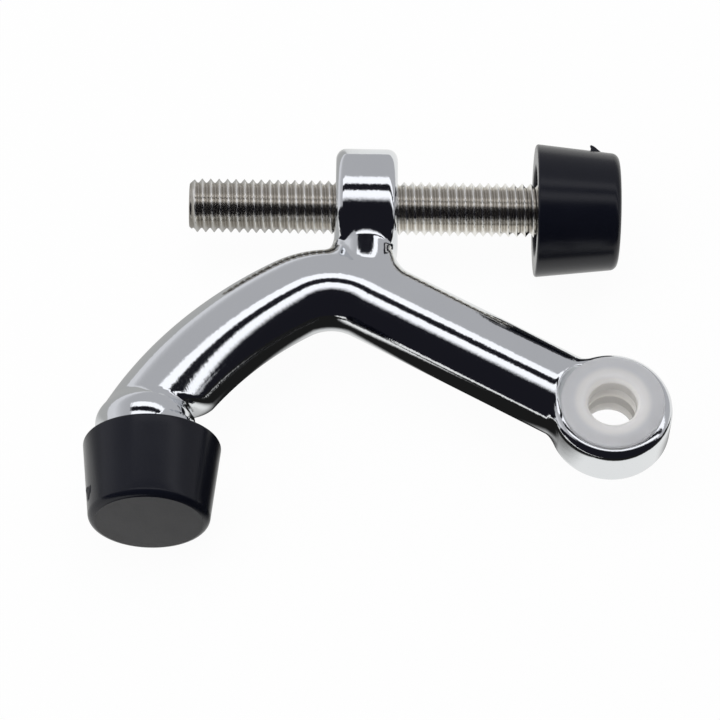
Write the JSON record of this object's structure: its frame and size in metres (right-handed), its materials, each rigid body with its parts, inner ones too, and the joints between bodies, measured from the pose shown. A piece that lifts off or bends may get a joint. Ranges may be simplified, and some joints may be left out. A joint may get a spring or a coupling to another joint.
{
  "type": "hinge pin door stop",
  "caption": "Chromed hinge pin door stop: an eyelet with nylon bushings, a curved arm and a threaded adjusting rod, both tipped with rubber caps, limits how far a door swings.",
  "frame": {"origin": "middle of the hinge-pin bore, at the eyelet's mid-height", "axes": "+Z along the hinge pin, +X along the adjusting rod towards its cap; the fixed arm's cap faces -Y"},
  "size_m": [0.0843, 0.063, 0.0198],
  "materials": {
    "chrome_casting": "polished chrome plate on a zinc casting",
    "rod_steel": "plain nickel-plated steel screw",
    "cap_rubber": "smooth black moulded rubber, soft gloss",
    "bushing_nylon": "natural white nylon, slightly translucent"
  },
  "bodies": {
    "casting": {"body": "chrome_casting", "arm_cap": "cap_rubber", "bushing_upper": "bushing_nylon", "bushing_lower": "bushing_nylon"},
    "pad": {"rod_cap": "cap_rubber"},
    "screw": {"adjusting_rod": "rod_steel"}
  },
  "joints": [
    {"name": "rod_travel", "type": "slide", "parent": "casting", "child": "pad", "axis": [1, 0, 0], "range_m": [-0.01875, 0.02]},
    {"name": "rod_spin", "type": "hinge", "parent": "pad", "child": "screw", "pos_m": [-0.03, 0.03495, 0], "axis": [1, 0, 0], "range_deg": [-5401, 5761]}
  ],
  "couplings": [
    {"joint": "rod_spin", "follows": "rod_travel", "rad_per_m": 5026.5}
  ]
}
